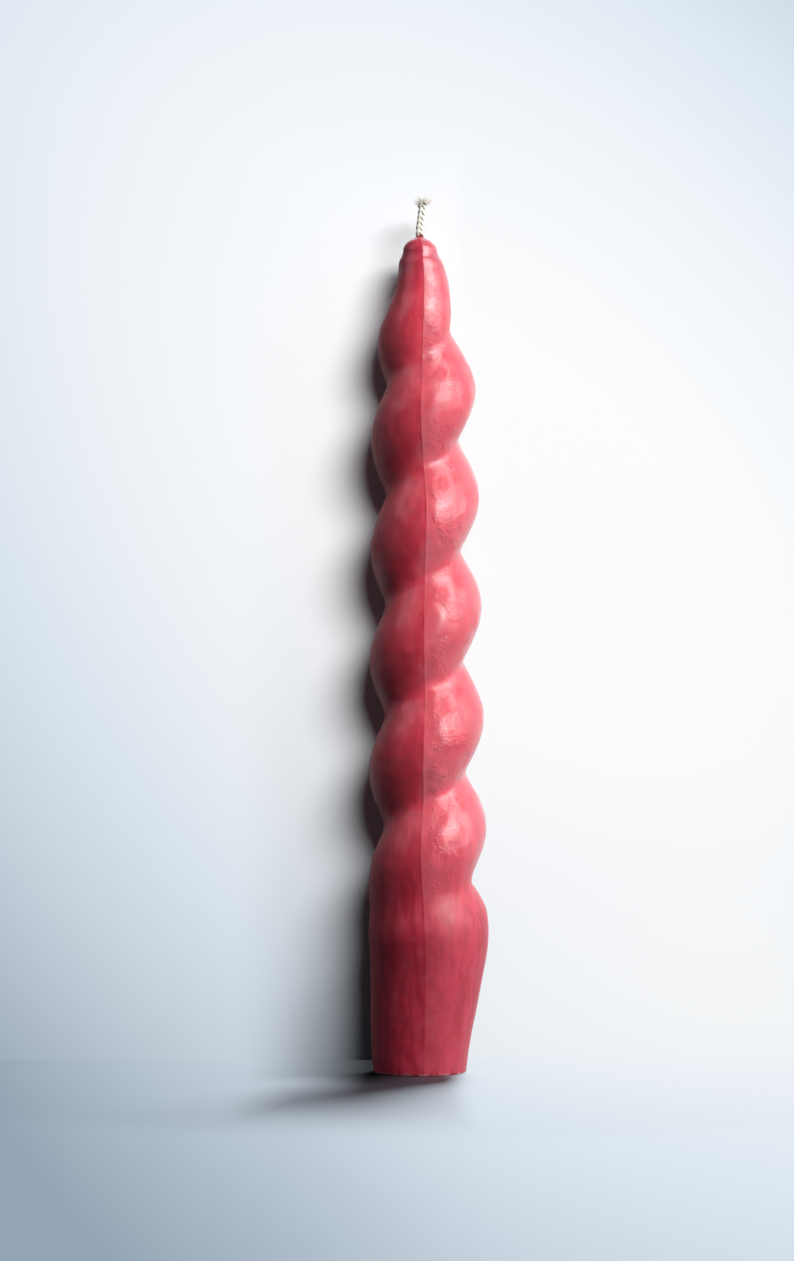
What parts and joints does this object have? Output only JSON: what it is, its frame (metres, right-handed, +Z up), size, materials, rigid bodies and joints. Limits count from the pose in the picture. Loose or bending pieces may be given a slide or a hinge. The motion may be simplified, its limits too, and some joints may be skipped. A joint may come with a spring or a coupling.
{
  "type": "spiral candle",
  "caption": "Tall cast taper candle with a right-handed spiral body, a plain tapered foot, a domed tip and a plaited cotton wick.",
  "frame": {"origin": "centre of the foot's flat underside", "axes": "+Z up along the candle from foot to wick; +X to the right and +Y away in the picture's view of the candle standing up"},
  "size_m": [0.0275, 0.0276, 0.2],
  "materials": {
    "wax": "satin cast wax, coral red, slightly translucent, with faint mould marks",
    "cotton": "undyed plaited cotton, matt"
  },
  "bodies": {
    "root": {"wax_body": "wax", "wick_strand_middle": "cotton", "wick_strand_right": "cotton", "wick_strand_left": "cotton"}
  },
  "joints": []
}
